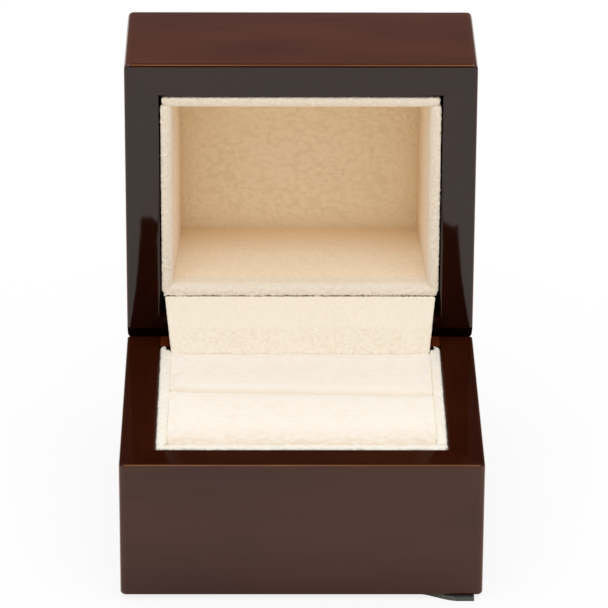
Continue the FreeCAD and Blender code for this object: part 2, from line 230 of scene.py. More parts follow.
def lacquered_mahogany(name, along):
    """Stained mahogany under clear lacquer, polished: dark red wood with a faint broad figure and fine straight
    grain that shows only close by, under a glassy gloss that mirrors the floor. along is the board's grain axis.
    The attribute stain_and_light is the depth of the colour, with painted shade on the rear bevels and beside worn
    edges and painted light on the base's rim behind the flap; edge_band marks rounded edges, where the colour is
    rubbed down and a painted highlight lightens it; and gloss is the share of full lacquer, which is rubbed down on
    the base's rim."""
    material, tree, output = new_material(name)
    place = add_node(tree, "ShaderNodeTexCoord").outputs["Object"]
    stretch = [per_mm(0.32)] * 3
    stretch[along] = per_mm(18.0)
    grain_place = add_node(tree, "ShaderNodeMapping", {"Vector": place, "Scale": stretch}).outputs["Vector"]
    grain = add_node(tree, "ShaderNodeTexNoise", {"Vector": grain_place, "Scale": 1.0, "Detail": 4.0,
                                                  "Roughness": 0.55}).outputs["Fac"]
    broad = [per_mm(11.0)] * 3
    broad[along] = per_mm(34.0)
    figure_place = add_node(tree, "ShaderNodeMapping", {"Vector": place, "Scale": broad}).outputs["Vector"]
    figure = add_node(tree, "ShaderNodeTexNoise", {"Vector": figure_place, "Scale": 1.0,
                                                   "Detail": 2.0}).outputs["Fac"]
    blend = add_node(tree, "ShaderNodeMath", {0: figure, 1: 2.0, 2: grain}, operation="MULTIPLY_ADD").outputs[0]
    depth = add_node(tree, "ShaderNodeMapRange", {"Value": blend, "From Min": 1.0, "From Max": 2.0}).outputs[0]
    wood = add_node(tree, "ShaderNodeMix", {0: depth, 6: list(colours().wood_dark), 7: list(colours().wood_light)},
                    data_type="RGBA").outputs[2]
    # Depth of the colour, which also carries painted shade and painted light on some faces
    stain_and_light = add_node(tree, "ShaderNodeAttribute", attribute_name="stain_and_light").outputs["Fac"]
    stained_and_lit = add_node(tree, "ShaderNodeVectorMath", {0: wood, 3: stain_and_light}, operation="SCALE").outputs[0]
    # Edges lightened where the colour is worn and by a painted highlight
    edge = add_node(tree, "ShaderNodeAttribute", attribute_name="edge_band").outputs["Fac"]
    thin_and_lit = add_node(tree, "ShaderNodeMath", {0: edge, 1: grain}, operation="MULTIPLY").outputs[0]
    tint = add_node(tree, "ShaderNodeMix", {0: thin_and_lit, 6: stained_and_lit, 7: list(colours().wood_worn_lit_edge)},
                    data_type="RGBA").outputs[2]
    ripple = add_node(tree, "ShaderNodeTexNoise", {"Vector": place, "Scale": per_mm(4.0),
                                                   "Detail": 1.0}).outputs["Fac"]
    skin = add_node(tree, "ShaderNodeBump", {"Height": ripple, "Strength": 0.012, "Distance": mm(1.0)}).outputs[0]
    gloss = add_node(tree, "ShaderNodeAttribute", attribute_name="gloss").outputs["Fac"]
    shader = add_node(tree, "ShaderNodeBsdfPrincipled", {
        "Base Color": tint, "Roughness": 0.6, "Specular IOR Level": 0.0, "IOR": 1.5,
        "Coat Weight": gloss, "Coat Roughness": 0.06, "Coat IOR": 1.5, "Coat Normal": skin})
    tree.links.new(shader.outputs[0], output.inputs["Surface"])
    return material


def drifting_colour(tree, place, stops):
    """A colour that changes from front to back, told as stops of a depth and a colour."""
    first, last = stops[0][0], stops[-1][0]
    depth = add_node(tree, "ShaderNodeSeparateXYZ", {0: place}).outputs["Y"]
    share = add_node(tree, "ShaderNodeMapRange", {"Value": depth, "From Min": first, "From Max": last}).outputs[0]
    ramp = add_node(tree, "ShaderNodeValToRGB", {0: share})
    elements = ramp.color_ramp.elements
    for number in range(1, len(stops) - 1):
        elements.new((stops[number][0] - first) / (last - first))
    for element, (_, colour) in zip(elements, stops):
        element.color = list(colour)
    return ramp.outputs["Color"]


def cream_suede(name, stops, wrinkle_mm, bump, tint, worked=None):
    """Suede cloth, brushed: a dead matt cream nap, softly wrinkled into small pillows where it is glued over
    card. The fibres are drawn coarser than life so that they show. stops are depths and colours from front to
    back, or a single one. wrinkle_mm is a pillow's size along x, y and z; bump is its relief and tint the painted
    shade, a tan, in its hollows. worked is a place, a direction and a reach: the wrinkles and their painted shade
    grow from there that way. The attribute seam_shade is painted shade, a tan along seams and in corners."""
    material, tree, output = new_material(name)
    place = add_node(tree, "ShaderNodeTexCoord").outputs["Object"]
    wander = add_node(tree, "ShaderNodeTexNoise", {"Vector": place, "Scale": per_mm(1.8),
                                                   "Detail": 2.0}).outputs["Color"]
    bent = add_node(tree, "ShaderNodeVectorMath", {0: wander, 1: [mm(1.1)] * 3, 2: place},
                    operation="MULTIPLY_ADD").outputs[0]
    sized = add_node(tree, "ShaderNodeMapping", {"Vector": bent, "Scale": [per_mm(w) for w in wrinkle_mm]}).outputs[0]
    pillow = add_node(tree, "ShaderNodeTexVoronoi", {"Vector": sized, "Scale": 1.0, "Smoothness": 0.6,
                                                     "Randomness": 1.0}, feature="SMOOTH_F1").outputs["Distance"]
    patch = add_node(tree, "ShaderNodeTexNoise", {"Vector": place, "Scale": per_mm(7.0),
                                                  "Detail": 2.0}).outputs["Fac"]
    strong = add_node(tree, "ShaderNodeMapRange", {"Value": patch, "From Min": 0.35, "From Max": 0.6,
                                                   "To Min": 0.6, "To Max": 1.0}).outputs[0]
    if worked:
        origin, direction, reach = worked
        away = add_node(tree, "ShaderNodeVectorMath", {0: place, 1: list(origin)}, operation="SUBTRACT").outputs[0]
        along = add_node(tree, "ShaderNodeVectorMath", {0: away, 1: list(direction)},
                         operation="DOT_PRODUCT").outputs["Value"]
        grown = add_node(tree, "ShaderNodeMapRange", {"Value": along, "From Min": 0.0, "From Max": reach,
                                                      "To Min": 0.5, "To Max": 1.4},
                         interpolation_type="SMOOTHSTEP").outputs[0]
        strong = add_node(tree, "ShaderNodeMath", {0: strong, 1: grown}, operation="MULTIPLY").outputs[0]
    fold = add_node(tree, "ShaderNodeMath", {0: pillow, 1: strong}, operation="MULTIPLY").outputs[0]
    fibre = add_node(tree, "ShaderNodeTexNoise", {"Vector": place, "Scale": per_mm(0.2),
                                                  "Detail": 2.0}).outputs["Fac"]
    relief = add_node(tree, "ShaderNodeMath", {0: fibre, 1: 0.3, 2: fold}, operation="MULTIPLY_ADD").outputs[0]
    nap = add_node(tree, "ShaderNodeBump", {"Height": relief, "Strength": bump, "Distance": mm(-0.25)}).outputs[0]
    # Painted shade: tan in the wrinkles' hollows, and along seams from the seam_shade attribute
    hollow_shade = add_node(tree, "ShaderNodeMapRange", {"Value": pillow, "From Min": 0.3, "From Max": 0.75,
                                                   "To Min": 0.0, "To Max": tint},
                      interpolation_type="SMOOTHSTEP").outputs[0]
    hollow_shade_grown = add_node(tree, "ShaderNodeMath", {0: hollow_shade, 1: strong}, operation="MULTIPLY").outputs[0]
    seam_shade = add_node(tree, "ShaderNodeAttribute", attribute_name="seam_shade").outputs["Fac"]
    tan = add_node(tree, "ShaderNodeMath", {0: hollow_shade_grown, 1: seam_shade}, operation="MAXIMUM").outputs[0]
    colour = drifting_colour(tree, place, stops) if len(stops) > 1 else list(stops[0][1])
    tone = add_node(tree, "ShaderNodeMix", {0: tan, 6: colour, 7: list(colours().suede_shade_tan)},
                    data_type="RGBA").outputs[2]
    shader = add_node(tree, "ShaderNodeBsdfPrincipled", {
        "Base Color": tone, "Roughness": 1.0, "Specular IOR Level": 0.0, "Sheen Weight": 0.1,
        "Sheen Roughness": 0.6, "Sheen Tint": list(stops[0][1]), "Normal": nap})
    tree.links.new(shader.outputs[0], output.inputs["Surface"])
    return material


def black_felt(name, wool, fleck_colour):
    """Pressed wool felt: almost black and matt, flecked with a few paler fibres."""
    material, tree, output = new_material(name)
    place = add_node(tree, "ShaderNodeTexCoord").outputs["Object"]
    fibre = add_node(tree, "ShaderNodeTexNoise", {"Vector": place, "Scale": per_mm(0.35), "Detail": 4.0,
                                                  "Roughness": 0.7, "Distortion": 1.5}).outputs["Fac"]
    fleck = add_node(tree, "ShaderNodeMapRange", {"Value": fibre, "From Min": 0.5, "From Max": 0.75}).outputs[0]
    tone = add_node(tree, "ShaderNodeMix", {0: fleck, 6: list(wool), 7: list(fleck_colour)},
                    data_type="RGBA").outputs[2]
    nap = add_node(tree, "ShaderNodeBump", {"Height": fibre, "Strength": 0.6, "Distance": mm(0.2)}).outputs[0]
    shader = add_node(tree, "ShaderNodeBsdfPrincipled", {
        "Base Color": tone, "Roughness": 1.0, "Specular IOR Level": 0.1, "Sheen Weight": 0.15, "Normal": nap})
    tree.links.new(shader.outputs[0], output.inputs["Surface"])
    return material


def grey_card(name):
    """Grey pulp board: matt, with a mottle of recycled fibre."""
    material, tree, output = new_material(name)
    place = add_node(tree, "ShaderNodeTexCoord").outputs["Object"]
    pulp = add_node(tree, "ShaderNodeTexNoise", {"Vector": place, "Scale": per_mm(0.8), "Detail": 5.0}).outputs["Fac"]
    shade = add_node(tree, "ShaderNodeMapRange", {"Value": pulp, "To Min": 0.8, "To Max": 1.1}).outputs[0]
    tone = add_node(tree, "ShaderNodeVectorMath", {0: list(colours().card)[:3], 3: shade},
                    operation="SCALE").outputs[0]
    shader = add_node(tree, "ShaderNodeBsdfPrincipled", {"Base Color": tone, "Roughness": 0.9})
    tree.links.new(shader.outputs[0], output.inputs["Surface"])
    return material


def rolled_metal(name, colour, roughness, streak_axis):
    """Rolled strip, brass or spring steel: bright metal with fine streaks along the way it was rolled."""
    material, tree, output = new_material(name)
    place = add_node(tree, "ShaderNodeTexCoord").outputs["Object"]
    stretch = [per_mm(0.25)] * 3
    stretch[streak_axis] = per_mm(9.0)
    streak_place = add_node(tree, "ShaderNodeMapping", {"Vector": place, "Scale": stretch}).outputs["Vector"]
    streak = add_node(tree, "ShaderNodeTexNoise", {"Vector": streak_place, "Scale": 1.0,
                                                   "Detail": 3.0}).outputs["Fac"]
    shade = add_node(tree, "ShaderNodeMapRange", {"Value": streak, "To Min": 0.82, "To Max": 1.1}).outputs[0]
    tone = add_node(tree, "ShaderNodeVectorMath", {0: list(colour)[:3], 3: shade}, operation="SCALE").outputs[0]
    rough = add_node(tree, "ShaderNodeMapRange", {"Value": streak, "To Min": roughness - 0.08,
                                                  "To Max": roughness + 0.1}).outputs[0]
    shader = add_node(tree, "ShaderNodeBsdfPrincipled", {"Base Color": tone, "Metallic": 1.0, "Roughness": rough})
    tree.links.new(shader.outputs[0], output.inputs["Surface"])
    return material


def make_active(piece):
    """Select one object alone, out of edit mode."""
    if bpy.context.mode != "OBJECT":
        bpy.ops.object.mode_set(mode="OBJECT")
    bpy.ops.object.select_all(action="DESELECT")
    piece.select_set(True)
    bpy.context.view_layer.objects.active = piece


def start_from_node(node, piece_name):
    """A merged copy of a CAD node, its triangles joined back into whole faces, to be worked on as a new piece."""
    source = frame["nodes"][node]
    piece = bpy.data.objects.new(piece_name, source.data.copy())
    bpy.context.scene.collection.objects.link(piece)
    piece.data.materials.clear()
    make_active(piece)
    bpy.ops.mesh.customdata_custom_splitnormals_clear()
    bpy.ops.object.mode_set(mode="EDIT")
    bpy.ops.mesh.select_all(action="SELECT")
    bpy.ops.mesh.remove_doubles(threshold=mm(0.001))
    bpy.ops.mesh.dissolve_limited(angle_limit=math.radians(0.5))
    bpy.ops.object.mode_set(mode="OBJECT")
    return piece


def apply_modifier(piece, kind, **settings):
    """Add a modifier with its settings and apply it."""
    make_active(piece)
    modifier = piece.modifiers.new(kind.lower(), kind)
    for key, value in settings.items():
        setattr(modifier, key, value)
    bpy.ops.object.modifier_apply(modifier=modifier.name)


def cloud_texture(name, size, depth):
    """Procedural clouds with features of this size."""
    texture = bpy.data.textures.new(name, "CLOUDS")
    texture.noise_scale = size
    texture.noise_depth = depth
    return texture


def smooth_shaded(piece, angle_deg):
    """Smooth shading up to an angle."""
    make_active(piece)
    bpy.ops.object.shade_smooth_by_angle(angle=math.radians(angle_deg))


def block_piece(name, low, high):
    """A cube primitive drawn out to a box, its place and size applied."""
    bpy.ops.object.select_all(action="DESELECT")
    bpy.ops.mesh.primitive_cube_add(size=1.0, location=(Vector(low) + Vector(high)) / 2)
    piece = bpy.context.active_object
    piece.name = name
    piece.scale = Vector(high) - Vector(low)
    bpy.ops.object.transform_apply(location=True, rotation=True, scale=True)
    return piece


def choose(piece, part, wanted):
    """Go to edit mode with only the wanted vertices or edges selected, chosen by the places of their points."""
    make_active(piece)
    bpy.ops.object.mode_set(mode="EDIT")
    bpy.ops.mesh.select_mode(type="VERT" if part == "vertices" else "EDGE")
    bpy.ops.mesh.select_all(action="DESELECT")
    bpy.ops.object.mode_set(mode="OBJECT")
    points = piece.data.vertices
    if part == "vertices":
        for point in points:
            point.select = wanted(point.co)
    else:
        for edge in piece.data.edges:
            edge.select = all(wanted(points[i].co) for i in edge.vertices)
    bpy.ops.object.mode_set(mode="EDIT")


def round_edges(piece, wanted, radius, segments):
    """Round the edges whose ends both pass a test."""
    choose(piece, "edges", wanted)
    bpy.ops.mesh.bevel(offset=radius, segments=segments, affect="EDGES")
    bpy.ops.object.mode_set(mode="OBJECT")


def push_out(piece, texture, depth, share):
    """Push a piece's surface out and in by a texture, at each point by the share that a function tells."""
    group = piece.vertex_groups.new(name="share")
    for point in piece.data.vertices:
        weight = share(point.co)
        if weight > 0.0:
            group.add([point.index], min(1.0, weight), "REPLACE")
    apply_modifier(piece, "DISPLACE", texture=texture, texture_coords="LOCAL", strength=depth, mid_level=0.5,
                   vertex_group=group.name)
    piece.vertex_groups.clear()


def paint_seam_shade(piece, share):
    """Mark how much painted shade, a tan, each point gets along seams and in corners, as a function tells."""
    seam_shade = piece.data.attributes.new("seam_shade", "FLOAT", "POINT")
    seam_shade.data.foreach_set("value", [min(1.0, max(0.0, share(point.co))) for point in piece.data.vertices])


def raise_nap(piece, rim_share=None, wrinkle_share=None):
    """Remesh a suede piece evenly and raise its nap in fine tufts, with coarser tufts along a rim and wrinkles
    where the cloth is worked, each by the share that a function tells for a point."""
    apply_modifier(piece, "REMESH", mode="VOXEL", voxel_size=sizes().nap_mesh)
    apply_modifier(piece, "SMOOTH", factor=0.5, iterations=2)
    apply_modifier(piece, "DISPLACE", texture=cloud_texture("nap_tufts", sizes().nap_tuft, 2),
                   texture_coords="LOCAL", strength=sizes().nap_depth, mid_level=0.5)
    if rim_share:
        push_out(piece, cloud_texture("rim_tufts", sizes().rim_tuft, 1), sizes().rim_depth, rim_share)
    if wrinkle_share:
        wrinkles = bpy.data.textures.new("wrinkles", "VORONOI")
        wrinkles.noise_scale = sizes().wrinkle
        push_out(piece, wrinkles, -sizes().wrinkle_depth, wrinkle_share)
    smooth_shaded(piece, 180)


def finish_piece(piece, body, node, slot, *materials):
    """Give a piece its materials and its body, and hide the CAD node that it stands for."""
    for material in materials:
        piece.data.materials.append(material)
    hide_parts(node)
    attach(piece, body)


def mark_finish(board, body, stain_outside, stain_rim, dull_rim):
    """Mark each face of a board: how deep its colour is, with painted shade on the rear bevels and beside worn edges
    and painted light on the base's rim behind the flap; whether it is an outer edge with the colour rubbed down and a
    painted highlight; and how much lacquer it has: less where it is rubbed, as on the base's rim, and none on the
    rear bevels."""
    band, stain_and_light, gloss = (board.data.attributes.new(name, "FLOAT", "FACE").data
                          for name in ("edge_band", "stain_and_light", "gloss"))
    hinge_zone = mm(4.2)
    margin = mm(1.0)
    inner_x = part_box("base_right_wall")[0].x
    if body == "base":
        depth_axis, rim_normal = 1, Vector((0.0, 0.0, 1.0))
        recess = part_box("base_front_wall")[1].y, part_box("base_back_wall")[0].y
    else:
        depth_axis, rim_normal = 2, Vector((0.0, -1.0, 0.0))
        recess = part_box("lid_back_wall")[1].z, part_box("lid_front_wall")[0].z
    for face in board.data.polygons:
        centre, normal = face.center, face.normal
        flattest = max(abs(c) for c in normal)
        square = flattest > 0.999
        bevel = not square and (centre - pivot).yz.length < hinge_zone
        facing_rim = normal.dot(rim_normal)
        in_recess = (abs(centre.x) < inner_x + margin and facing_rim > -0.5
                     and recess[0] - margin < centre[depth_axis] < recess[1] + margin)
        on_rim = facing_rim > 0.6
        lit_by_flap = body == "base" and on_rim and abs(centre.x) < inner_x and centre.y > recess[1]
        rounded = not (square or bevel or in_recess)
        handled = body == "lid" or normal.z >= 0.55
        long_edge = rounded and handled and abs(normal.x) < 0.05
        crest = long_edge and flattest < 0.82
        # Worn edges with a painted highlight, on the crest of a long edge and on rounded corners
        wear_and_highlight = 0.0
        if crest:
            wear_and_highlight = EDGE_WEAR_AND_HIGHLIGHT
        elif rounded and not long_edge:
            wear_and_highlight = CORNER_WEAR_AND_HIGHLIGHT if abs(normal.x) > 0.8 else CORNER_HAZE_AND_HIGHLIGHT
        depth = stain_rim if on_rim or in_recess else stain_outside
        # Painted light on the base's rim behind the flap, for the light that the cream flap throws on it
        if lit_by_flap:
            depth = FLAP_BOUNCE_LIGHT
        # Painted shade on the rear bevels, where shade falls between base and lid
        elif bevel:
            depth = BEVEL_SHADE
        # Painted dark reflection on the shoulders beside a worn edge
        elif long_edge and not crest:
            depth = SHOULDER_DARK_REFLECTION
        lacquer = RIM_GLOSS if on_rim else OUTSIDE_GLOSS
        if bevel:
            lacquer = 0.0
        elif long_edge or (on_rim and dull_rim):
            lacquer = RUBBED_GLOSS
        band[face.index].value = wear_and_highlight
        stain_and_light[face.index].value = depth
        gloss[face.index].value = lacquer


class RINGBOX_OT_wood_case(bpy.types.Operator):
    """Ten lacquered boards of the base and lid"""
    bl_idname = "ringbox.wood_case"
    bl_label = "Wooden case"

    def execute(self, context):
        wood = [lacquered_mahogany("mahogany_lacquered_" + "xyz"[axis], axis) for axis in range(3)]
        for body, boards, side_axis, stain_outside, stain_rim in CASES:
            for node in boards:
                board = start_from_node(node, node + "_lacquered")
                if node == "base_back_wall":
                    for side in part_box("base_left_wall")[1].x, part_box("base_right_wall")[0].x:
                        choose(board, "vertices", lambda p: True)
                        bpy.ops.mesh.bisect(plane_co=(side, 0.0, 0.0), plane_no=(1.0, 0.0, 0.0))
                    bpy.ops.object.mode_set(mode="OBJECT")
                mark_finish(board, body, stain_outside, stain_rim, body == "base" or node == "lid_back_wall")
                smooth_shaded(board, 30)
                along = side_axis if "left" in node or "right" in node else 0
                finish_piece(board, body, node, "lacquered_wood", wood[along])
        return {"FINISHED"}


def cut_back(strip):
    """Thin a side strip's rear end on its inner side, where the flap's edge stands when the lid is shut."""
    shut_flap = pivot.y - sizes().flap_distance
    slope_start, slope_end = shut_flap - mm(0.45), shut_flap - mm(0.1)
    for cut in (slope_start, slope_end):
        choose(strip, "vertices", lambda p: True)
        bpy.ops.mesh.bisect(plane_co=(0.0, cut, 0.0), plane_no=(0.0, 1.0, 0.0))
    inner = min(abs(point.co.x) for point in strip.data.vertices)
    side = math.copysign(1.0, strip.data.vertices[0].co.x)
    choose(strip, "vertices", lambda p: p.y > slope_end - SAME_PLACE and abs(p.x) < inner + SAME_PLACE)
    bpy.ops.transform.translate(value=(side * sizes().strip_notch, 0.0, 0.0))
    bpy.ops.object.mode_set(mode="OBJECT")


class RINGBOX_OT_base_lining(bpy.types.Operator):
    """Suede strips round the ring cushion"""
    bl_idname = "ringbox.base_lining"
    bl_label = "Base lining"

    def execute(self, context):
        suede = cream_suede("suede_cream_strip", [(0.0, colours().suede_strip)], (0.7, 0.7, 0.7), 0.3, 0.05)
        size = sizes()
        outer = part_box("base_liner_front")[1].x - SAME_PLACE
        tufted = mm(1.2)
        for node in BASE_LINING:
            low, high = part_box(node)
            high.z += size.strip_rise
            if node == "base_liner_left":
                high += Vector((size.strip_swell, size.strip_longer, 0.0))
            elif node == "base_liner_right":
                low.x -= size.strip_swell
                high.y -= size.strip_shorter
            strip = block_piece(node + "_suede", low, high)
            front, rear, top = low.y + SAME_PLACE, high.y - SAME_PLACE, high.z - SAME_PLACE
            if node == "base_liner_front":
                for side in (-1, 1):
                    round_edges(strip, lambda p: p.x * side > outer and p.y < front, size.strip_corner, 5)
            else:
                cut_back(strip)
                round_edges(strip, lambda p: abs(p.x) > outer and p.y > rear, size.strip_corner, 5)
                round_edges(strip, lambda p: p.z > top and p.y > rear, size.strip_end, 5)
            round_edges(strip, lambda p: p.z > high.z - 2 * size.strip_end, size.strip_roll, 3)
            raise_nap(strip, rim_share=lambda p: 1.0 - (high.z - p.z) / tufted)
            finish_piece(strip, "base", node, "cream_suede", suede)
        return {"FINISHED"}


def cover_roof(roof, low, high):
    """Cover the roof card with wrinkled suede, with painted shade in tan along its sides and rear, in the corners
    where the panels press on it.
    """
    shade_reach = mm(10.0)
    apply_modifier(roof, "BEVEL", width=sizes().strip_roll, segments=2, limit_method="ANGLE")
    raise_nap(roof, wrinkle_share=lambda p: 1.0)
    # Painted shade in the roof's corners
    paint_seam_shade(roof, lambda p: 0.5 - min(high.x - abs(p.x), p.z - low.z) / shade_reach)


def cover_panel(panel, node):
    """Cover one of the lid's panels: its cloth bulges into the gap at the rim, or hangs down there at the front,
    is sunk into the roof's cloth and rolls over the rim's inner edge. The side panels run past the other two."""
    size = sizes()
    rim, seat = (corner.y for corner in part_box(node))
    at_rim = rim + SAME_PLACE
    centre_z = (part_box("lid_liner_rear")[0].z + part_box("lid_liner_front")[1].z) / 2
    across, centre = (0, 0.0) if "left" in node or "right" in node else (2, centre_z)
    reaches = [abs(p.co[across] - centre) for p in panel.data.vertices if p.co.y < at_rim]
    inner, outer = min(reaches), max(reaches)
    lip = mm(0.2)
    if node == "lid_liner_front":
        choose(panel, "vertices", lambda p: p.y < at_rim and p.z - centre < inner + lip)
        bpy.ops.transform.translate(value=(0.0, 0.0, -size.panel_droop))
        inner -= size.panel_droop
    else:
        bulge = size.panel_spread * (REAR_BULGE if node == "lid_liner_rear" else 1.0)
        outward = Vector()
        outward[across] = math.copysign(bulge, panel.data.vertices[0].co[across] - centre)
        choose(panel, "vertices", lambda p: p.y < at_rim and abs(p[across] - centre) > outer - SAME_PLACE)
        bpy.ops.transform.translate(value=outward)
    if across == 0:
        choose(panel, "vertices", lambda p: p.z > centre_z)
        bpy.ops.transform.translate(value=(0.0, 0.0, size.panel_past_front))
        choose(panel, "vertices", lambda p: p.z < centre_z)
        bpy.ops.transform.translate(value=(0.0, 0.0, -size.panel_past_rear))
    choose(panel, "vertices", lambda p: p.y > seat - SAME_PLACE)
    bpy.ops.transform.translate(value=(0.0, size.panel_seat, 0.0))
    round_edges(panel, lambda p: p.y < at_rim and abs(p[across] - centre) < inner + lip, size.panel_roll, 8)
    apply_modifier(panel, "BEVEL", width=mm(0.3), segments=2, limit_method="ANGLE", angle_limit=math.radians(50))
    tufted = mm(1.5)
    raise_nap(panel, rim_share=lambda p: 1.0 - (p.y - rim) / tufted)


class RINGBOX_OT_lid_lining(bpy.types.Operator):
    """Suede panels and roof inside the lid"""
    bl_idname = "ringbox.lid_lining"
    bl_label = "Lid lining"

    def execute(self, context):
        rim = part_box("lid_liner_front")[0].y
        # Painted light and shade down the panels: paler on the walls behind the rim, yellower and darker towards the
        # roof, where shade falls
        panel_suede = cream_suede("suede_cream_panel", [(rim + mm(1.6), colours().suede_rim),
                                                        (rim + mm(4.0), colours().suede_wall_lit),
                                                        (rim + mm(11.0), colours().suede_wall_lit),
                                                        (rim + mm(20.0), colours().suede_deep_shade)],
                                  (0.8, 0.8, 0.8), 0.5, 0.12)
        roof_suede = cream_suede("suede_cream_roof", [(0.0, colours().suede_roof_shade)], (1.2, 1.2, 0.75), 1.0, 0.3)
        for node in LID_LINING:
            card = start_from_node(node, node + "_suede")
            if node == "lid_liner_roof":
                cover_roof(card, *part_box(node))
                finish_piece(card, "lid", node, "cream_suede", roof_suede)
            else:
                cover_panel(card, node)
                finish_piece(card, "lid", node, "cream_suede", panel_suede)
        return {"FINISHED"}


def swell(piece, held_below, slack_before):
    """Let the foam press a roll's suede out in a short cloth run, with loose cloth near its front. Cloth needs
    a body of ordinary size, so the roll is enlarged for the run and made small again."""
    enlargement = 20.0
    make_active(piece)
    piece.scale = [enlargement] * 3
    bpy.ops.object.transform_apply(location=True, rotation=True, scale=True)
    before = [point.co.copy() for point in piece.data.vertices]
    held = piece.vertex_groups.new(name="held")
    slack = piece.vertex_groups.new(name="slack")
    for point in piece.data.vertices:
        if point.co.z < held_below * enlargement:
            held.add([point.index], 1.0, "REPLACE")
        if point.co.y < slack_before * enlargement:
            slack.add([point.index], 1.0, "REPLACE")
    frames = 20
    cloth = piece.modifiers.new("foam_swell", "CLOTH")
    for key, value in {"quality": 5, "tension_stiffness": 15.0, "compression_stiffness": 15.0,
                       "bending_stiffness": 0.5, "vertex_group_mass": held.name, "vertex_group_shrink": slack.name,
                       "shrink_max": -0.08, "use_pressure": True, "uniform_pressure_force": 4.0}.items():
        setattr(cloth.settings, key, value)
    cloth.settings.effector_weights.gravity = 0.0
    cloth.point_cache.frame_end = frames
    for number in range(1, frames + 1):
        bpy.context.scene.frame_set(number)
    bpy.ops.object.modifier_apply(modifier=cloth.name)
    bpy.context.scene.frame_set(1)
    most = sizes().cushion_swell * enlargement
    for point, start in zip(piece.data.vertices, before):
        move = point.co - start
        if move.length > most:
            point.co = start + move * (most / move.length)
    piece.vertex_groups.clear()
    piece.scale = [1.0 / enlargement] * 3
    bpy.ops.object.transform_apply(location=True, rotation=True, scale=True)


def fill_roll(node):
    """Shape one roll of the cushion, let its foam swell and paint shade in tan along its seams beside the strips and,
    on the rear roll, at the slit.
    """
    size = sizes()
    is_front = node == "ring_cushion_front"
    low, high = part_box(node)
    low.x -= size.cushion_spread
    high += Vector((size.cushion_spread, 0.0, size.cushion_rise))
    overlap = mm(0.15)
    if is_front:
        low.y -= size.cushion_spread
        high.y += overlap
    else:
        low.y -= size.cushion_grip + overlap
        high.y += size.cushion_rear
    slit = high.y if is_front else low.y
    roll = block_piece(node + "_suede", low, high)
    for side in (-1, 1):
        choose(roll, "vertices", lambda p: abs(p.y - slit) < SAME_PLACE and p.x * side > 0)
        bpy.ops.transform.translate(value=(0.0, -side * size.slit_lean, 0.0))
    top = high.z - SAME_PLACE
    choose(roll, "vertices", lambda p: p.z > top and p.y > (low.y + high.y) / 2)
    bpy.ops.transform.translate(value=(0.0, 0.0, size.slit_lift if is_front else size.rear_lift))
    if is_front:
        round_edges(roll, lambda p: p.z > top and p.y < low.y + SAME_PLACE, size.cushion_dip, 8)
    else:
        round_edges(roll, lambda p: p.z > top and p.y < slit + size.slit_lean + SAME_PLACE, size.slit_roll, 6)
    round_edges(roll, lambda p: p.z > top, mm(0.25), 3)
    apply_modifier(roll, "REMESH", mode="VOXEL", voxel_size=mm(0.45))
    apply_modifier(roll, "SMOOTH", factor=0.5, iterations=2)
    swell(roll, high.z - mm(6.0), low.y + mm(7.0))
    apply_modifier(roll, "SUBSURF", levels=1, render_levels=1)
    smooth_shaded(roll, 180)
    side_seam = high.x - size.cushion_spread
    slit_seam = slit + size.cushion_grip + mm(0.3)

    # Painted shade: tan beside the strips and on the rear roll where it dips into the slit
    def seam_shade_share(p):
        beside = 0.4 * (abs(p.x) - side_seam) / mm(0.4)
        if is_front or p.y < slit_seam - mm(2.5):
            return beside
        behind_slit = p.y - slit_seam + size.slit_lean * p.x / high.x
        return max(beside, 0.3 - 0.3 * behind_slit / mm(1.6))

    paint_seam_shade(roll, seam_shade_share)
    return roll


class RINGBOX_OT_ring_cushion(bpy.types.Operator):
    """Two suede rolls that grip the ring, on their card"""
    bl_idname = "ringbox.ring_cushion"
    bl_label = "Ring cushion"

    def execute(self, context):
        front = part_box("ring_cushion_front")[0].y
        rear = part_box("ring_cushion_rear")[1].y
        # Painted shade: the suede darkens and tans towards the front strip; painted light: it pales towards the flap
        suede = cream_suede("suede_cream_cushion", [(front, colours().suede_front_shade),
                                                    (front + mm(6.0), colours().suede),
                                                    (rear - mm(8.0), colours().suede),
                                                    (rear - mm(2.0), colours().suede_rear_lit)],
                            (1.3, 0.6, 0.6), 0.25, 0.2,
                            ((0.0, front + mm(5.0), 0.0), (0.0, -1.0, 0.0), mm(4.0)))
        for node in ("ring_cushion_front", "ring_cushion_rear"):
            roll = fill_roll(node)
            finish_piece(roll, "base", node, "cream_suede", suede)
        board = frame["nodes"]["cushion_board"]
        board.data.materials.clear()
        board.data.materials.append(grey_card("card_grey_pulp"))
        return {"FINISHED"}


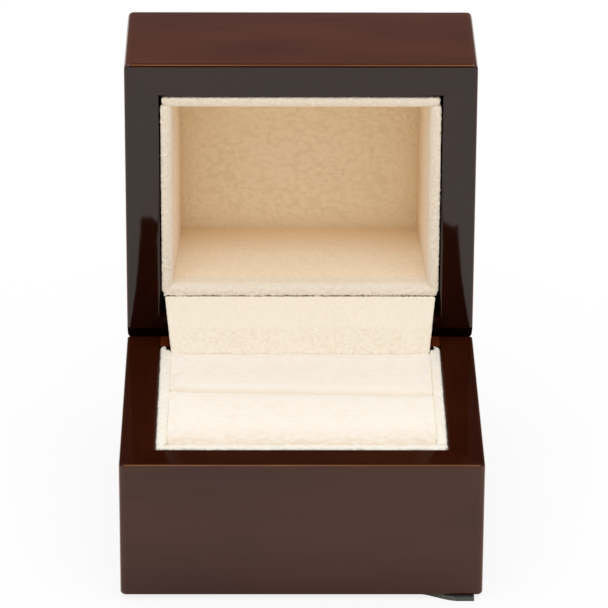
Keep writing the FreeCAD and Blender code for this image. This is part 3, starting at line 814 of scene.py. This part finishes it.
class RINGBOX_OT_cover_flap(bpy.types.Operator):
    """Creased suede flap over the hinge"""
    bl_idname = "ringbox.cover_flap"
    bl_label = "Cover flap"

    def execute(self, context):
        size = sizes()
        front = -size.flap_distance
        back = front + size.flap_thickness
        crease = mm(-0.2)
        tilt = math.radians(FLAP_TILT_DEG)
        down = (0.0, -math.sin(tilt), -math.cos(tilt))
        flap = block_piece("hinge_cover_flap_suede", (-size.flap_half_low, front, -size.flap_below),
                           (size.flap_half_low, back, size.flap_above))
        choose(flap, "vertices", lambda p: p.z > size.flap_above - SAME_PLACE)
        bpy.ops.transform.resize(value=(size.flap_half_high / size.flap_half_low, 1.0, 1.0),
                                 center_override=(0.0, front, size.flap_above))
        choose(flap, "vertices", lambda p: True)
        bpy.ops.mesh.bisect(plane_co=(0.0, 0.0, crease), plane_no=(0.0, 0.0, 1.0))
        choose(flap, "vertices", lambda p: p.z < SAME_PLACE - size.flap_below and p.y < front + SAME_PLACE)
        bpy.ops.transform.translate(value=(0.0, size.flap_fall, 0.0))
        bpy.ops.object.mode_set(mode="OBJECT")
        apply_modifier(flap, "BEVEL", width=mm(0.12), segments=2, limit_method="ANGLE", angle_limit=math.radians(40))
        fading = mm(3.0)
        raise_nap(flap, wrinkle_share=lambda p: 0.7 - (p.z - crease) / fading)
        flap.location = pivot
        flap.rotation_euler = (-tilt, 0.0, 0.0)
        make_active(flap)
        bpy.ops.object.transform_apply(location=True, rotation=True, scale=True)
        finish_piece(flap, "flap", "hinge_cover_flap", "cream_suede",
                     cream_suede("suede_cream_flap", [(0.0, colours().suede_flap)], (0.65, 0.55, 0.55), 0.5, 0.14,
                                 (pivot, down, mm(1.2))))
        return {"FINISHED"}


class RINGBOX_OT_snap_hinge(bpy.types.Operator):
    """Brass leaves and screws, steel pin and the bow spring"""
    bl_idname = "ringbox.snap_hinge"
    bl_label = "Snap hinge"

    def execute(self, context):
        brass = rolled_metal("brass_rolled", colours().brass, 0.3, 0)
        steel = rolled_metal("spring_steel_rolled", colours().steel, 0.35, 0)
        for node in ("hinge_base_leaf", "hinge_lid_leaf", "base_leaf_screws", "lid_leaf_screws", "hinge_pin"):
            metal = frame["nodes"][node].data.materials
            metal.clear()
            metal.append(steel if node == "hinge_pin" else brass)
        spring = start_from_node("hinge_spring", "hinge_spring_strip")
        spring.data.materials.append(steel)
        tilt = math.radians(FLAP_TILT_DEG)
        up = Vector((0.0, math.sin(tilt), math.cos(tilt)))
        half_crown = mm(1.6)
        cuts = 8
        for number in range(cuts + 1):
            choose(spring, "vertices", lambda p: True)
            bpy.ops.mesh.bisect(plane_co=pivot + up * half_crown * (2 * number / cuts - 1), plane_no=up)
        bpy.ops.object.mode_set(mode="OBJECT")
        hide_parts("hinge_spring")
        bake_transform(spring)
        return {"FINISHED"}


class RINGBOX_OT_underside_felt(bpy.types.Operator):
    """Thin felt glued under the base, with one loose front corner"""
    bl_idname = "ringbox.underside_felt"
    bl_label = "Underside felt"

    def execute(self, context):
        low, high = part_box("base_felt")
        felt = block_piece("base_felt_sheet", low, high)
        choose(felt, "vertices", lambda p: True)
        bpy.ops.mesh.subdivide(number_cuts=60)
        loose_width, loose_depth, sideways, stretch = mm(3.4), mm(0.1), mm(0.6), mm(6.0)
        choose(felt, "vertices", lambda p: p.x > high.x - loose_width and p.y < low.y + loose_depth)
        bpy.ops.transform.translate(value=(sideways, -sizes().felt_pull, 0.0), use_proportional_edit=True,
                                    proportional_edit_falloff="SMOOTH", proportional_size=stretch)
        bpy.ops.object.mode_set(mode="OBJECT")
        # Edge faces get the paler felt, painted light from the floor
        for face in felt.data.polygons:
            face.material_index = 1 if abs(face.normal.z) < 0.5 else 0
        finish_piece(felt, "base", "base_felt", "black_felt",
                     black_felt("wool_felt_black", colours().felt, colours().felt_fibre),
                     black_felt("wool_felt_lit_edge", colours().felt_lit_cut, colours().felt_lit_edge))
        return {"FINISHED"}


class RINGBOX_OT_stage(bpy.types.Operator):
    """Pale floor, soft studio light and the camera"""
    bl_idname = "ringbox.stage"
    bl_label = "Stage"

    def execute(self, context):
        scene = context.scene
        scene.view_settings.view_transform = "Standard"
        bpy.ops.object.select_all(action="DESELECT")
        bpy.ops.mesh.primitive_plane_add(size=6.0, location=(0.0, 0.0, 0.0))
        floor = context.active_object
        floor.name = "studio_floor"
        floor.data.materials.append(studio_floor_material())
        light_the_studio(scene)
        add_camera(scene)
        return {"FINISHED"}


def studio_floor_material():
    """Seamless warm white paper, matt. To the camera it is part white glow, so that it meets the white behind it
    and still carries the box's shadow."""
    material, tree, output = new_material("paper_white_sweep")
    seen = add_node(tree, "ShaderNodeLightPath").outputs["Is Camera Ray"]
    shade = add_node(tree, "ShaderNodeMix", {0: seen, 6: linear("#F6F2EC"), 7: linear("#F4F4F4")},
                     data_type="RGBA").outputs[2]
    paper = add_node(tree, "ShaderNodeBsdfDiffuse", {"Color": shade})
    glow = add_node(tree, "ShaderNodeEmission", {"Color": linear("#FFFFFF"), "Strength": 1.0})
    share = add_node(tree, "ShaderNodeMath", {0: seen, 1: 0.85}, operation="MULTIPLY").outputs[0]
    both = add_node(tree, "ShaderNodeMixShader", {0: share, 1: paper.outputs[0], 2: glow.outputs[0]})
    tree.links.new(both.outputs[0], output.inputs["Surface"])
    return material


def light_the_studio(scene):
    """A light tent: bright overhead and low in front, dim towards the other horizons, and plain white where the
    camera sees it."""
    world = bpy.data.worlds.new("light_tent")
    scene.world = world
    world.use_nodes = True
    tree = world.node_tree
    tree.nodes.clear()
    toward = add_node(tree, "ShaderNodeTexCoord").outputs["Generated"]
    split = add_node(tree, "ShaderNodeSeparateXYZ", {0: toward})
    overhead = add_node(tree, "ShaderNodeMapRange", {"Value": split.outputs["Z"], "From Min": 0.5, "From Max": 0.8,
                                                     "To Min": 0.2, "To Max": 1.7},
                        interpolation_type="SMOOTHSTEP").outputs[0]
    front = add_node(tree, "ShaderNodeMapRange", {"Value": split.outputs["Y"], "From Min": -0.25, "From Max": -0.75,
                                                  "To Min": 0.0, "To Max": 0.5},
                     interpolation_type="SMOOTHSTEP").outputs[0]
    tent = add_node(tree, "ShaderNodeMath", {0: overhead, 1: front}, operation="ADD").outputs[0]
    tent_light = add_node(tree, "ShaderNodeBackground", {"Color": linear("#FFFFFF"), "Strength": tent})
    white = add_node(tree, "ShaderNodeBackground", {"Color": linear("#FFFFFF"), "Strength": 1.0})
    seen = add_node(tree, "ShaderNodeLightPath").outputs["Is Camera Ray"]
    mixed = add_node(tree, "ShaderNodeMixShader", {0: seen, 1: tent_light.outputs[0], 2: white.outputs[0]})
    output = add_node(tree, "ShaderNodeOutputWorld")
    tree.links.new(mixed.outputs[0], output.inputs["Surface"])


def add_camera(scene):
    """Long lens at the photograph's height and angle, placed from the rims of base and lid."""
    focal_pixels = 4420.64
    frame_pixels = 608
    from_rims = Vector((mm(-5.893), mm(-697.598), mm(322.127)))
    pitch = math.radians(24.374)
    yaw = math.radians(0.539)
    roll = math.radians(0.256)
    rims = Vector((0.0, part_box("lid_left_wall")[0].y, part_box("base_left_wall")[1].z))
    forward = Vector((math.sin(yaw) * math.cos(pitch), math.cos(yaw) * math.cos(pitch), -math.sin(pitch)))
    right = Vector((math.cos(yaw), -math.sin(yaw), 0.0))
    up = right.cross(forward)
    turned_right = math.cos(roll) * right + math.sin(roll) * up
    turned_up = math.cos(roll) * up - math.sin(roll) * right
    data = bpy.data.cameras.new("photo_camera")
    data.sensor_width = 36.0
    data.lens = focal_pixels / frame_pixels * data.sensor_width
    data.clip_end = 20.0
    camera = bpy.data.objects.new("photo_camera", data)
    scene.collection.objects.link(camera)
    axes = Matrix((turned_right, turned_up, -forward)).transposed()
    camera.matrix_world = Matrix.Translation(rims + from_rims) @ axes.to_4x4()
    scene.camera = camera


class RINGBOX_PT_panel(bpy.types.Panel):
    """Buttons for every group of pieces"""
    bl_label = "Wooden ring box"
    bl_space_type = "VIEW_3D"
    bl_region_type = "UI"
    bl_category = "Ring Box"

    def draw(self, context):
        for operator in PIECE_OPERATORS:
            self.layout.operator(operator.bl_idname)
        for group in (context.scene.ring_box_colours, context.scene.ring_box_sizes):
            for key in group.__annotations__:
                self.layout.prop(group, key)


PIECE_OPERATORS = (RINGBOX_OT_wood_case, RINGBOX_OT_base_lining, RINGBOX_OT_lid_lining, RINGBOX_OT_ring_cushion,
                   RINGBOX_OT_cover_flap, RINGBOX_OT_snap_hinge, RINGBOX_OT_underside_felt, RINGBOX_OT_stage)
CLASSES = (RingBoxColours, RingBoxSizes, *PIECE_OPERATORS, RINGBOX_PT_panel)


def register():
    """Add the classes and the scene's settings."""
    for cls in CLASSES:
        bpy.utils.register_class(cls)
    bpy.types.Scene.ring_box_colours = bpy.props.PointerProperty(type=RingBoxColours)
    bpy.types.Scene.ring_box_sizes = bpy.props.PointerProperty(type=RingBoxSizes)


def unregister():
    """Take the settings and classes away again."""
    del bpy.types.Scene.ring_box_sizes
    del bpy.types.Scene.ring_box_colours
    for cls in reversed(CLASSES):
        bpy.utils.unregister_class(cls)


def main():
    """Build every piece in order."""
    register()
    bpy.ops.ringbox.wood_case()
    bpy.ops.ringbox.base_lining()
    bpy.ops.ringbox.lid_lining()
    bpy.ops.ringbox.ring_cushion()
    bpy.ops.ringbox.cover_flap()
    bpy.ops.ringbox.snap_hinge()
    bpy.ops.ringbox.underside_felt()
    bpy.ops.ringbox.stage()


if __name__ == "__main__":
    main()
